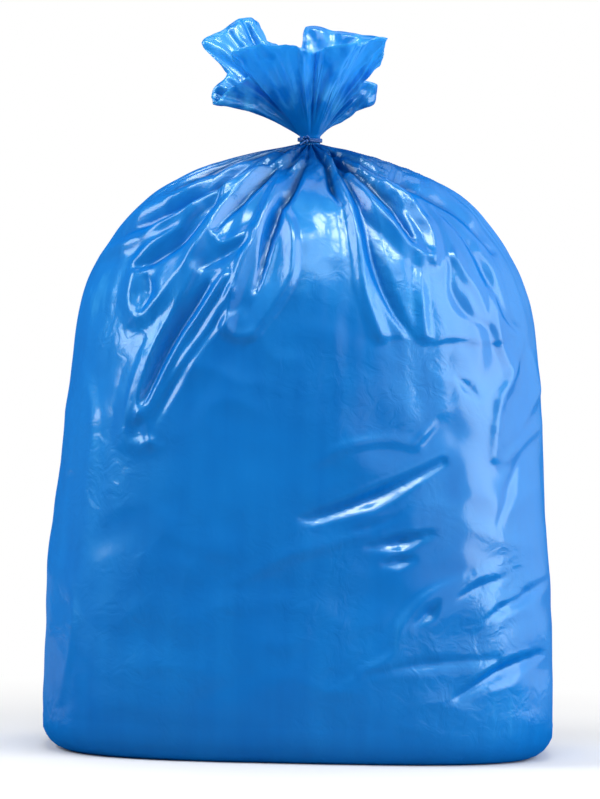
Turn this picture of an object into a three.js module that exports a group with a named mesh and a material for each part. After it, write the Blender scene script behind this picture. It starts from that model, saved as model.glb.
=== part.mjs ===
// A filled polythene trash bag standing on the floor, its neck gathered in a tie.
// Millimetres, +Z up, front towards -Y, origin on the floor under the middle of the bag.
import * as THREE from 'three';

// The filled body
const bodyWidth = 520;
const bodyDepth = 350;
const neckHeight = 618; // floor to the foot of the straight neck
const floorEdge = 28; // radius at which the side turns under
const floorCorner = 3; // plan exponent at the floor, where the bag is squarest
const shoulderCorner = 2.1; // plan exponent at the shoulder, nearly an ellipse

// The neck and its tie
const neckRadius = 10.5;
const strandRadius = 1;
const strandPitch = 1.7; // each turn of the tie lies against the next
const strandTurns = 3;
const tieClearance = 0.3;
const neckMargin = 0.8; // straight film above and below the tie

// The flared mouth above the tie
const mouthRise = 121; // tie to the highest point of the cut edge
const mouthReach = 113; // neck axis to the farthest point of the cut edge
const filmWall = 0.9; // at the cut edge, tapering down to the bunched neck
const hollowFoot = 0.3; // share of the way up the mouth where the film closes into a bunch

const columnsPerPleat = 5;

// Side outline from the floor up: share of the half width, share of the neck height
const outlineShares = [
  [1.0, 0.11], [0.985, 0.24], [0.96, 0.38], [0.938, 0.53], [0.914, 0.64], [0.888, 0.722],
  [0.838, 0.786], [0.742, 0.852], [0.6, 0.914], [0.41, 0.955], [0.2, 0.983],
];

// Pleats round the shoulder, anticlockwise from the left side. Each runs from the neck to a foot:
// plan angle of the foot in degrees, height of the foot as a share of the neck height,
// depth and half width in millimetres.
const pleats = [
  [182, 0.66, 7, 9], [192, 0.83, 9, 8], [200, 0.75, 10, 9], [216, 0.7, 12, 11], [227, 0.5, 22, 20],
  [241, 0.66, 9, 9], [255, 0.69, 10, 12], [264, 0.75, 9, 10], [272, 0.9, 5, 7], [288, 0.69, 14, 11],
  [298, 0.68, 20, 20], [311, 0.82, 14, 12], [324, 0.7, 9, 11], [336, 0.81, 10, 9], [344, 0.7, 9, 10],
  [356, 0.62, 7, 9], [9, 0.72, 8, 9], [20, 0.8, 10, 10], [32, 0.64, 12, 12], [44, 0.74, 9, 10],
  [56, 0.83, 9, 9], [67, 0.58, 14, 15], [79, 0.72, 9, 10], [90, 0.8, 8, 9], [101, 0.66, 12, 12],
  [112, 0.78, 9, 9], [123, 0.55, 15, 15], [135, 0.72, 10, 10], [146, 0.82, 9, 9], [156, 0.65, 11, 11],
  [166, 0.76, 9, 9], [174, 0.8, 8, 8],
];
const neckStart = 178; // plan angle at which the first pleat meets the neck

// Main folds of the front. Each line runs away from the neck, through points picked by eye in the
// front view: column and row, in pixels. The heights are how far the film stands out at the line's
// start, middle and end, inward where negative, and the width is on each side of the line.
const frontFolds = [
  { line: [[272, 166], [223, 185], [182, 205], [138, 230], [106, 246]], heights: [4, 6, 2], width: 12 },
  {
    line: [[272, 165], [238, 188], [205, 236], [185, 268], [162, 298], [140, 317]],
    heights: [6, 9, 3],
    width: 16,
  },
  { line: [[275, 172], [240, 203], [213, 234], [196, 270]], heights: [-6, -7, -4], width: 11 },
  {
    line: [[195, 272], [176, 307], [158, 344], [150, 364], [142, 391], [139, 417]],
    heights: [4, 6, 5],
    width: 12,
  },
  { line: [[226, 276], [203, 309], [180, 342], [158, 385], [143, 416]], heights: [4, 6, 4], width: 12 },
  { line: [[208, 285], [184, 322], [164, 358], [146, 402]], heights: [-4, -8, -3], width: 14 },
  {
    line: [[312, 152], [299, 177], [280, 207], [264, 226], [244, 267], [231, 299], [236, 326]],
    heights: [5, 9, 4],
    width: 13,
  },
  { line: [[309, 160], [287, 195], [277, 224], [268, 256], [260, 296]], heights: [-6, -10, -4], width: 12 },
  {
    line: [[296, 195], [283, 212], [288, 238], [277, 263], [269, 290], [252, 334]],
    heights: [3, 7, 3],
    width: 12,
  },
  { line: [[311, 152], [284, 175], [264, 184], [262, 207], [252, 230]], heights: [5, 7, 3], width: 12 },
  {
    line: [[322, 150], [335, 177], [349, 207], [359, 262], [369, 313], [379, 337]],
    heights: [5, 9, 5],
    width: 12,
  },
  {
    line: [[328, 150], [342, 175], [354, 205], [366, 250], [386, 300], [408, 334]],
    heights: [-7, -9, -4],
    width: 14,
  },
  { line: [[343, 160], [361, 197], [386, 228], [410, 250], [434, 259]], heights: [5, 9, 5], width: 12 },
  { line: [[345, 158], [382, 189], [402, 213], [420, 244]], heights: [-6, -8, -3], width: 11 },
  { line: [[343, 154], [378, 177], [410, 203], [427, 226], [435, 256]], heights: [5, 7, 4], width: 12 },
  {
    line: [[330, 154], [382, 177], [422, 195], [451, 213], [476, 234], [494, 256]],
    heights: [-5, -6, -3],
    width: 11,
  },
  { line: [[379, 337], [422, 338], [460, 338], [497, 339]], heights: [4, 6, 3], width: 14 },
  { line: [[300, 520], [322, 515], [380, 498], [418, 482], [444, 464]], heights: [1, 5, 2], width: 12 },
];
const frontPleating = 0.35; // share of the pleats' depth that the front keeps beside its folds
const frontFade = 50; // depth over which the front goes over into the side

// Cut edge of the mouth, anticlockwise from the left side, one corner for each pleat: sideways
// and depth from the neck axis as shares of the reach, height above the tie as a share of the rise
const mouthCorners = [
  [-1, 0.04, 0.77], [-0.76, -0.05, 0.52], [-0.88, -0.12, 0.38], [-0.88, -0.19, 0.25],
  [-0.71, -0.21, 0.39], [-0.55, -0.23, 0.5], [-0.69, -0.34, 0.6], [-0.72, -0.46, 0.67],
  [-0.48, -0.62, 0.74], [-0.24, -0.7, 0.72], [-0.08, -0.66, 0.7], [0.02, -0.5, 0.68],
  [0.07, -0.53, 0.7], [0.15, -0.58, 0.72], [0.4, -0.56, 0.77], [0.43, -0.42, 0.75],
  [0.47, -0.3, 0.78], [0.67, -0.19, 0.84], [0.62, -0.07, 0.62], [0.41, 0.02, 0.51],
  [0.61, 0.12, 0.45], [0.55, 0.18, 0.27], [0.32, 0.14, 0.55], [0.66, 0.32, 0.84],
  [0.32, 0.37, 0.9], [-0.06, 0.37, 0.95], [-0.11, 0.32, 0.69], [-0.24, 0.35, 0.77],
  [-0.39, 0.35, 0.82], [-0.5, 0.3, 0.99], [-0.65, 0.25, 1.0], [-0.82, 0.12, 0.89],
];

const columns = pleats.length * columnsPerPleat;
const pleatPitch = (2 * Math.PI) / pleats.length;
const halfWidth = bodyWidth / 2;
const depthShare = bodyDepth / bodyWidth;
const bandHeight = strandPitch * (strandTurns - 1) + 2 * strandRadius;
const neckLength = bandHeight + 2 * neckMargin;
const mouthFoot = neckHeight + neckLength;

const { clamp, lerp, degToRad, smoothstep } = THREE.MathUtils;

// Turns an angle into the range from minus to plus half a turn
function wrapped(angle) {
  return Math.atan2(Math.sin(angle), Math.cos(angle));
}

function columnAngle(column) {
  return degToRad(neckStart) + (column / columns) * 2 * Math.PI;
}

// Half of the front silhouette, from the edge of the floor contact up to the neck
function makeOutline() {
  const outline = new THREE.Path();
  const straight = halfWidth - floorEdge;
  outline.moveTo(straight, 0);
  outline.absarc(straight, floorEdge, floorEdge, -Math.PI / 2, 0, false);
  const side = outlineShares.map(([across, up]) => new THREE.Vector2(across * halfWidth, up * neckHeight));
  outline.splineThru([...side, new THREE.Vector2(neckRadius, neckHeight)]);
  return outline;
}
const outline = makeOutline();

// Share of the outline's length at which it reaches a height
function outlineShareAt(height) {
  let low = 0;
  let high = 1;
  for (let step = 0; step < 30; step++) {
    const middle = (low + high) / 2;
    if (outline.getPointAt(middle).y < height) low = middle;
    else high = middle;
  }
  return (low + high) / 2;
}

// The section of a pleat, in shares of its own half width and depth
const valleySharpness = 1.2;
const ridgeHeight = 0.2;
const ridgePlace = 1.25;
const ridgeSpread = 0.4;
const ridgeFade = 6; // the ridges die away within this many neck radii of the axis

// How a pleat grows from its foot to the neck
const pleatOpening = 1.4;
const pleatDeepening = 2.2;
const pleatCrowding = 0.5; // its half width is at most this share of the pitch between pleats
const pleatSteepness = 0.3; // its depth is at most this share of its distance from the axis

// A pleat is a groove between two ridges. It starts as a point at its foot and deepens towards the neck,
// where all the pleats lie side by side.
const grooves = pleats.map(([footAngle, footHeight, depth, width], index) => ({
  footAngle: degToRad(footAngle),
  turn: wrapped(degToRad(neckStart) + index * pleatPitch - degToRad(footAngle)),
  foot: outlineShareAt(footHeight * neckHeight),
  depth,
  width,
}));

function grooveDepth(groove, share, angle, radius) {
  const climb = (share - groove.foot) / (1 - groove.foot);
  if (climb <= 0) return 0;
  const centre = groove.footAngle + groove.turn * smoothstep(climb, 0, 1);
  const width = Math.min(groove.width * pleatOpening * Math.sqrt(climb), pleatCrowding * pleatPitch * radius);
  const across = (Math.abs(wrapped(angle - centre)) * radius) / width;
  const depth = Math.min(groove.depth * Math.min(1, pleatDeepening * climb), pleatSteepness * radius);
  const valley = Math.max(0, 1 - across) ** valleySharpness;
  const ridge = ridgeHeight * Math.exp(-(((across - ridgePlace) / ridgeSpread) ** 2));
  return depth * (valley - ridge * smoothstep(radius, neckRadius, ridgeFade * neckRadius));
}

// A fold is a ridge or a groove with a sharp middle line, narrower where the folds crowd at the neck
const foldSharpness = 1.4;
const foldCrowding = 0.3; // its width is at most this share of its distance from the neck
const foldSteepness = 0.2; // its height is at most this share of that distance
const foldSteps = 40;

// How the front view lies on the bag: its middle in pixels, the point of the bag seen there,
// the length of film that one pixel spans, and how far the bag leans in the view
const viewMiddle = new THREE.Vector2(300, 399.5);
const bagAtViewMiddle = new THREE.Vector2(-4.6, 358.7);
const pixelSpan = 0.995;
const bagLean = degToRad(1.2);

function onFront([column, row]) {
  const fromMiddle = new THREE.Vector2(column - viewMiddle.x, viewMiddle.y - row);
  const upright = fromMiddle.rotateAround(new THREE.Vector2(0, 0), bagLean);
  return upright.multiplyScalar(pixelSpan).add(bagAtViewMiddle);
}

const folds = frontFolds.map(({ line, heights, width }) => {
  const path = new THREE.SplineCurve(line.map(onFront)).getPoints(foldSteps);
  return { path, heights, width };
});

function foldLift(fold, across, height) {
  const place = new THREE.Vector2(across, height);
  const distances = fold.path.map((point) => point.distanceTo(place));
  const reach = Math.min(...distances);
  const spread = Math.hypot(across, neckHeight - height);
  const width = Math.min(fold.width, foldCrowding * spread);
  if (reach >= width) return 0;
  const along = (2 * distances.indexOf(reach)) / foldSteps;
  const [start, middle, end] = fold.heights;
  const lift = along < 1 ? lerp(start, middle, along) : lerp(middle, end, along - 1);
  const most = foldSteepness * spread;
  return clamp(lift, -most, most) * (1 - reach / width) ** foldSharpness;
}

// Where the plan changes, as shares of the neck height and of the half width
const squareBelow = 0.1;
const ovalAbove = 0.8;
const roundWithin = 0.5;

// A point on the film of the body: share is how far up the outline, angle is round the plan
function bodyPoint(share, angle) {
  const { x: across, y: height } = outline.getPointAt(share);
  const slope = outline.getTangentAt(share);
  const risen = smoothstep(height / neckHeight, squareBelow, ovalAbove);
  const corner = lerp(floorCorner, shoulderCorner, risen);
  const flat = lerp(1, depthShare, smoothstep(across, neckRadius, roundWithin * halfWidth));
  const cos = Math.cos(angle);
  const sin = Math.sin(angle);
  const roundness = (Math.abs(cos) ** corner + Math.abs(sin) ** corner) ** (-1 / corner);
  const x = across * roundness * cos;
  const y = across * roundness * sin * flat;
  const outward = new THREE.Vector2(
    Math.sign(cos) * Math.abs(cos) ** (corner - 1) * flat,
    Math.sign(sin) * Math.abs(sin) ** (corner - 1),
  ).normalize();
  const radius = Math.hypot(x, y);
  const facing = smoothstep(-y, 0, frontFade);
  const pleated = grooves.reduce((sum, groove) => sum + grooveDepth(groove, share, angle, radius), 0);
  const lifted = folds.reduce((sum, fold) => sum + foldLift(fold, x, height), 0);
  const inward = lerp(1, frontPleating, facing) * pleated - facing * lifted;
  return new THREE.Vector3(
    x - inward * outward.x * slope.y,
    y - inward * outward.y * slope.y,
    height + inward * slope.x,
  );
}

function ring(pointAt) {
  return Array.from({ length: columns }, (_, column) => pointAt(column));
}

function bodyRing(share) {
  return ring((column) => bodyPoint(share, columnAngle(column)));
}

// Levels up the outline: close together where the side turns under and over the shoulder
const turnUnderSteps = [0, 0.35, 0.7, 1];
const sideSteps = [0.14, 0.3, 0.46, 0.62, 0.75, 0.88, 1];
const shoulderSteps = [0.07, 0.14, 0.21, 0.28, 0.35, 0.42, 0.49, 0.56, 0.63, 0.7, 0.77, 0.84, 0.9, 0.96];
const shoulderFoot = 0.6; // share of the neck height where the shoulder begins
const turnUnderTop = 0.999; // share of the turned edge's radius where the side begins

function bodyRings() {
  const side = outlineShareAt(turnUnderTop * floorEdge);
  const shoulder = outlineShareAt(shoulderFoot * neckHeight);
  return [
    ...turnUnderSteps.map((step) => step * side),
    ...sideSteps.map((step) => lerp(side, shoulder, step)),
    ...shoulderSteps.map((step) => lerp(shoulder, 1, step)),
  ].map(bodyRing);
}

function neckPoint(column) {
  const angle = columnAngle(column);
  return new THREE.Vector3(neckRadius * Math.cos(angle), neckRadius * Math.sin(angle), neckHeight);
}

// The cut edge runs straight from corner to corner
function mouthEdge(column) {
  const corner = Math.floor(column / columnsPerPleat);
  const along = (column % columnsPerPleat) / columnsPerPleat;
  const from = new THREE.Vector3(...mouthCorners[corner]);
  const to = new THREE.Vector3(...mouthCorners[(corner + 1) % mouthCorners.length]);
  return from.lerp(to, along).multiply(new THREE.Vector3(mouthReach, mouthReach, mouthRise));
}

// Film above the tie: each line leaves the neck straight for the cut edge, rising before it flares
const flareStart = 0.35; // share of the way out at which the line bends
const flareLift = 0.08; // how far the bend is lifted, as a share of the rise

function mouthPoint(column, share) {
  const edge = mouthEdge(column);
  const angle = Math.atan2(edge.y, edge.x);
  const start = new THREE.Vector3(neckRadius * Math.cos(angle), neckRadius * Math.sin(angle), mouthFoot);
  const end = edge.add(new THREE.Vector3(0, 0, mouthFoot));
  const bend = start.clone().lerp(end, flareStart);
  bend.z += flareLift * mouthRise;
  return new THREE.QuadraticBezierCurve3(start, bend, end).getPoint(share);
}

// The inner face of the same film, set in from both walls where it folds
const sharpestMitre = 0.35; // sine of half the sharpest fold that still gets its whole wall
const riseStep = 0.01; // share of the way up the film over which its rise is measured

function mouthInside(column, share) {
  const point = mouthPoint(column, share);
  const up = mouthPoint(column, share - riseStep).sub(point).negate();
  const fromLast = mouthPoint((column + columns - 1) % columns, share).sub(point).negate();
  const toNext = mouthPoint((column + 1) % columns, share).sub(point);
  const [before, after] = [fromLast, toNext].map((along) => up.clone().cross(along).normalize());
  const inward = before.clone().add(after).normalize();
  const mitre = Math.max(inward.dot(before), sharpestMitre);
  return point.addScaledVector(inward, (filmWall * share) / mitre);
}

// One closed skin: floor, body, neck, outside of the mouth, over the cut edge and down inside it
const floorSteps = [0.4, 0.8]; // shares of the way from the middle of the floor to its edge
const outsideSteps = [0, 0.12, 0.28, 0.46, 0.64, 0.82, 1];
const insideSteps = [1, 0.82, 0.64, 0.46, hollowFoot];
const hollowDip = 0.4; // the bunched film dips to this share of the hollow's foot

function makeBag() {
  const floorRings = floorSteps.map((share) => bodyRing(0).map((point) => point.multiplyScalar(share)));
  const neckRing = ring(neckPoint);
  const outside = outsideSteps.map((share) => ring((column) => mouthPoint(column, share)));
  const inside = insideSteps.map((share) => ring((column) => mouthInside(column, share)));
  const bottom = new THREE.Vector3(0, 0, 0);
  const top = new THREE.Vector3(0, 0, mouthFoot + hollowDip * hollowFoot * mouthRise);
  return loft(bottom, [...floorRings, ...bodyRings(), neckRing, ...outside, ...inside], top);
}

// Joins rings of equal count into a closed skin between two end points
function loft(bottom, rings, top) {
  const points = [bottom, ...rings.flat(), top];
  const faces = [];
  const at = (level, column) => 1 + level * columns + (column % columns);
  for (let column = 0; column < columns; column++) {
    faces.push(0, at(0, column + 1), at(0, column));
    for (let level = 0; level + 1 < rings.length; level++) {
      faces.push(at(level, column), at(level, column + 1), at(level + 1, column + 1));
      faces.push(at(level, column), at(level + 1, column + 1), at(level + 1, column));
    }
    faces.push(points.length - 1, at(rings.length - 1, column), at(rings.length - 1, column + 1));
  }
  const geometry = new THREE.BufferGeometry().setFromPoints(points);
  geometry.setIndex(faces);
  geometry.computeVertexNormals();
  return geometry;
}

// The tie: one elastic band wound round the neck, its turns fused side by side
const tieSegments = 36;

function makeTie() {
  const centre = neckRadius + tieClearance + strandRadius;
  const join = THREE.MathUtils.radToDeg(Math.asin(Math.min(1, strandPitch / 2 / strandRadius)));
  const arc = (turn, from, to) => [0, 0.5].map((share) => {
    const angle = degToRad(lerp(from, to, share));
    const across = centre + strandRadius * Math.cos(angle);
    const up = strandPitch * (turn - (strandTurns - 1) / 2) + strandRadius * Math.sin(angle);
    return new THREE.Vector2(across, up);
  });
  const turns = Array.from({ length: strandTurns }, (_, turn) => turn);
  const profile = [
    ...arc(0, 180 + join, 360 - join),
    ...turns.flatMap((turn) => arc(turn, -join, join)),
    ...arc(strandTurns - 1, join, 180 - join),
    ...turns.toReversed().flatMap((turn) => arc(turn, 180 - join, 180 + join)),
  ];
  return new THREE.LatheGeometry([...profile, profile[0]], tieSegments);
}

function addMesh(group, name, geometry, color, roughness) {
  const material = new THREE.MeshStandardMaterial({ color, roughness, metalness: 0 });
  const mesh = new THREE.Mesh(geometry, material);
  mesh.name = name;
  group.add(mesh);
  return mesh;
}

const trashBag = new THREE.Group();
addMesh(trashBag, 'bag', makeBag(), 0x0a6cc4, 0.3);
const tie = addMesh(trashBag, 'neck_tie', makeTie(), 0x1a5fc0, 0.35);
tie.rotation.x = Math.PI / 2;
tie.position.z = neckHeight + neckLength / 2;

export default trashBag;
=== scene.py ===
# A filled and tied trash bag of glossy blue polythene film, standing on a white studio floor.
import math

import bpy
import numpy as np
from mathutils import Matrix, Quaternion, Vector


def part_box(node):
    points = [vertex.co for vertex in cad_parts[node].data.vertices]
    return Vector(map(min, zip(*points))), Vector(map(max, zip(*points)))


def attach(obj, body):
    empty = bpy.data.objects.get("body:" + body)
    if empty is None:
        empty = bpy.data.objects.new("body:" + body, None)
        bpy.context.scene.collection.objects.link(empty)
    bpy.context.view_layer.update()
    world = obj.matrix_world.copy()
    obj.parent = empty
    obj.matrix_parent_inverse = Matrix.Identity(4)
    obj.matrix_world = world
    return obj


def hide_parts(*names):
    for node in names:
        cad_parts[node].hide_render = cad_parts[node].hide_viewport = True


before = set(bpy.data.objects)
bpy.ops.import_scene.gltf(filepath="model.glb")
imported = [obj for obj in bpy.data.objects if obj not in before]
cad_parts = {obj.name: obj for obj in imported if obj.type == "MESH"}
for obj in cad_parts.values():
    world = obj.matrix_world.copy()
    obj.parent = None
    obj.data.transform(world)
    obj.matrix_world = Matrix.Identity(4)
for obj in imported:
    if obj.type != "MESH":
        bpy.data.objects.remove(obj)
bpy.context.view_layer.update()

# Camera: a long lens four and a half metres in front of the bag, almost level with it and turned
# slightly about its own axis, so that the bag leans to the right as it does in the photograph.
view_distance = 4.5
view_elevation = math.radians(1)
view_roll = math.radians(1.2)
view_height = 0.8163  # what the frame's long side spans at the bag
view_target = Vector((-0.0046, 0, 0.3567))

camera_data = bpy.data.cameras.new("camera")
camera_data.lens = camera_data.sensor_width * view_distance / view_height
camera = bpy.data.objects.new("camera", camera_data)
bpy.context.scene.collection.objects.link(camera)
view_back = Vector((0, -math.cos(view_elevation), math.sin(view_elevation)))
camera.location = view_target + view_distance * view_back
camera.rotation_mode = "QUATERNION"
camera.rotation_quaternion = (-view_back).to_track_quat("-Z", "Y") @ Quaternion((0, 0, 1), view_roll)
bpy.context.scene.camera = camera

photo_pixels = np.array((600, 799))
pixel_span = view_height / photo_pixels[1]
view_right = np.array(camera.rotation_quaternion @ Vector((1, 0, 0)))
view_up = np.array(camera.rotation_quaternion @ Vector((0, 1, 0)))


def in_picture(points):
    """Where the camera sees points, in metres at the bag, right of and above the picture's corner."""
    away = points - np.array(camera.location)
    sight = view_distance / (away @ -np.array(view_back))
    middle = 0.5 * pixel_span * photo_pixels * (1, -1)
    return middle + np.stack([sight * (away @ view_right), sight * (away @ view_up)], -1)


# Body film: one tube of blown polythene film, sealed across its foot and filled, so that it stands
# on a flattened floor. The shoulder is drawn together in pleats to the neck, where the tie holds it.
bag_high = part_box("bag")[1]
tie_low, tie_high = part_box("neck_tie")
half_width = bag_high.x
half_depth = bag_high.y
neck_margin = 0.0008  # bare neck below and above the tie
neck_radius = 0.0105
neck_foot = tie_low.z - neck_margin
mouth_foot = tie_high.z + neck_margin
mouth_rise = bag_high.z - mouth_foot
inside_tie = 0.5 * (neck_foot + mouth_foot)  # where body and mouth meet, out of sight
floor_edge = 0.028  # radius of the turn from the side to the floor
floor_corner = 3.0  # exponents of the plan: 2 is an ellipse, and more is squarer
shoulder_corner = 2.1
corner_change = (0.1, 0.8)  # shares of the neck's height between which the plan changes
flattening = 0.5  # share of half the width from which the plan is as flat as at the floor
turn_points = 20
body_columns = 416


def smoothstep(value, low, high):
    """0 below low, 1 above high and a smooth rise between them."""
    t = np.clip((value - low) / (high - low), 0, 1)
    return t * t * (3 - 2 * t)


def spline(points, steps=24):
    """A smooth curve through points, as a dense polyline."""
    points = np.array(points, float)
    padded = np.vstack([2 * points[0] - points[1], points, 2 * points[-1] - points[-2]])
    t = np.linspace(0, 1, steps, endpoint=False)[:, None]
    pieces = []
    for a, b, c, d in zip(padded, padded[1:], padded[2:], padded[3:]):
        pieces.append(0.5 * (2 * b + (c - a) * t + (2 * a - 5 * b + 4 * c - d) * t**2
                             + (3 * b - a - 3 * c + d) * t**3))
    return np.vstack([*pieces, points[-1:]])


# Side of the bag from where it turns under up to the neck: share of half the width, then share of
# the neck's height
side_shares = [
    (1.0, 0.11), (0.985, 0.24), (0.96, 0.38), (0.938, 0.53), (0.914, 0.64), (0.888, 0.722),
    (0.838, 0.786), (0.742, 0.852), (0.6, 0.914), (0.41, 0.955), (0.2, 0.983),
]
turn_under = np.radians(np.linspace(-90, 0, turn_points))
outline = np.vstack([
    np.column_stack([half_width - floor_edge + floor_edge * np.cos(turn_under),
                     floor_edge + floor_edge * np.sin(turn_under)]),
    spline([(half_width, floor_edge)]
           + [(across * half_width, up * neck_foot) for across, up in side_shares]
           + [(neck_radius, neck_foot)])[1:],
])
outline_length = np.concatenate([[0], np.cumsum(np.linalg.norm(np.diff(outline, axis=0), axis=1))])
outline_length /= outline_length[-1]


def outline_at(share):
    """Half width and height of the side, a share of its length up from the floor."""
    return (np.interp(share, outline_length, outline[:, 0]),
            np.interp(share, outline_length, outline[:, 1]))


def share_at(height):
    """How far up the side a height lies, as a share of the side's length."""
    return np.interp(height, outline[:, 1], outline_length)


def filled_form(share, angle):
    """The smooth form of the filled bag: share is how far up its side, angle is round its plan."""
    across, height = outline_at(share)
    corner = floor_corner + (shoulder_corner - floor_corner) * smoothstep(height / neck_foot, *corner_change)
    flat = 1 + (half_depth / half_width - 1) * smoothstep(across, neck_radius, flattening * half_width)
    cos, sin = np.cos(angle), np.sin(angle)
    round_plan = (np.abs(cos) ** corner + np.abs(sin) ** corner) ** (-1 / corner)
    reach = across * round_plan
    return np.stack(np.broadcast_arrays(reach * cos, reach * sin * flat, height), -1)


# Pleats, anticlockwise from the left: plan angle of the foot in degrees, its height as a share of
# the neck's, then depth and half width in millimetres
pleats = [
    (182, 0.66, 7, 9), (192, 0.83, 9, 8), (200, 0.75, 10, 9), (216, 0.7, 12, 11), (227, 0.5, 22, 20),
    (241, 0.66, 9, 9), (255, 0.69, 10, 12), (264, 0.75, 9, 10), (272, 0.9, 5, 7), (288, 0.69, 14, 11),
    (298, 0.68, 20, 20), (311, 0.82, 14, 12), (324, 0.7, 9, 11), (336, 0.81, 10, 9), (344, 0.7, 9, 10),
    (356, 0.62, 7, 9), (9, 0.72, 8, 9), (20, 0.8, 10, 10), (32, 0.64, 12, 12), (44, 0.74, 9, 10),
    (56, 0.83, 9, 9), (67, 0.58, 14, 15), (79, 0.72, 9, 10), (90, 0.8, 8, 9), (101, 0.66, 12, 12),
    (112, 0.78, 9, 9), (123, 0.55, 15, 15), (135, 0.72, 10, 10), (146, 0.82, 9, 9), (156, 0.65, 11, 11),
    (166, 0.76, 9, 9), (174, 0.8, 8, 8),
]
neck_start = math.radians(178)
pleat_pitch = 2 * math.pi / len(pleats)
millimetre = 0.001
pleat_opening = 0.0014  # metres of half width at the neck for each millimetre in the list
pleat_deepening = 2.2  # a pleat is at its full depth this many times sooner than at the neck
pleat_steepness = 0.3  # its depth is at most this share of the distance from the bag's axis
pleat_sharpness = 1.2
pleat_lip = 0.2  # the film beside it rises by this share of its depth
lip_place = 1.25  # and does so this many half widths from its middle
lip_width = 0.4


def wrapped(angle):
    """The same angle between minus and plus half a turn."""
    return np.arctan2(np.sin(angle), np.cos(angle))


def pleat_relief(share, angle, radius):
    """How far the pleats draw the film in from the filled form."""
    inward = np.zeros(np.broadcast(share, angle).shape)
    for index, (foot_angle, foot_height, depth, width) in enumerate(pleats):
        foot_angle = math.radians(foot_angle)
        foot = share_at(foot_height * neck_foot)
        climb = np.clip((share - foot) / (1 - foot), 0, 1)
        turn = wrapped(neck_start + index * pleat_pitch - foot_angle)
        centre = foot_angle + turn * smoothstep(climb, 0, 1)
        half = np.minimum(pleat_opening * width * np.sqrt(climb), 0.5 * pleat_pitch * radius) + 1e-6
        across = np.abs(wrapped(angle - centre)) * radius / half
        full = millimetre * depth * np.minimum(1, pleat_deepening * climb)
        deep = np.minimum(full, pleat_steepness * radius)
        lip = pleat_lip * np.exp(-(((across - lip_place) / lip_width) ** 2))
        lip_share = smoothstep(radius, neck_radius, 6 * neck_radius)
        inward += deep * (np.maximum(0, 1 - across) ** pleat_sharpness - lip * lip_share)
    return inward


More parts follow.
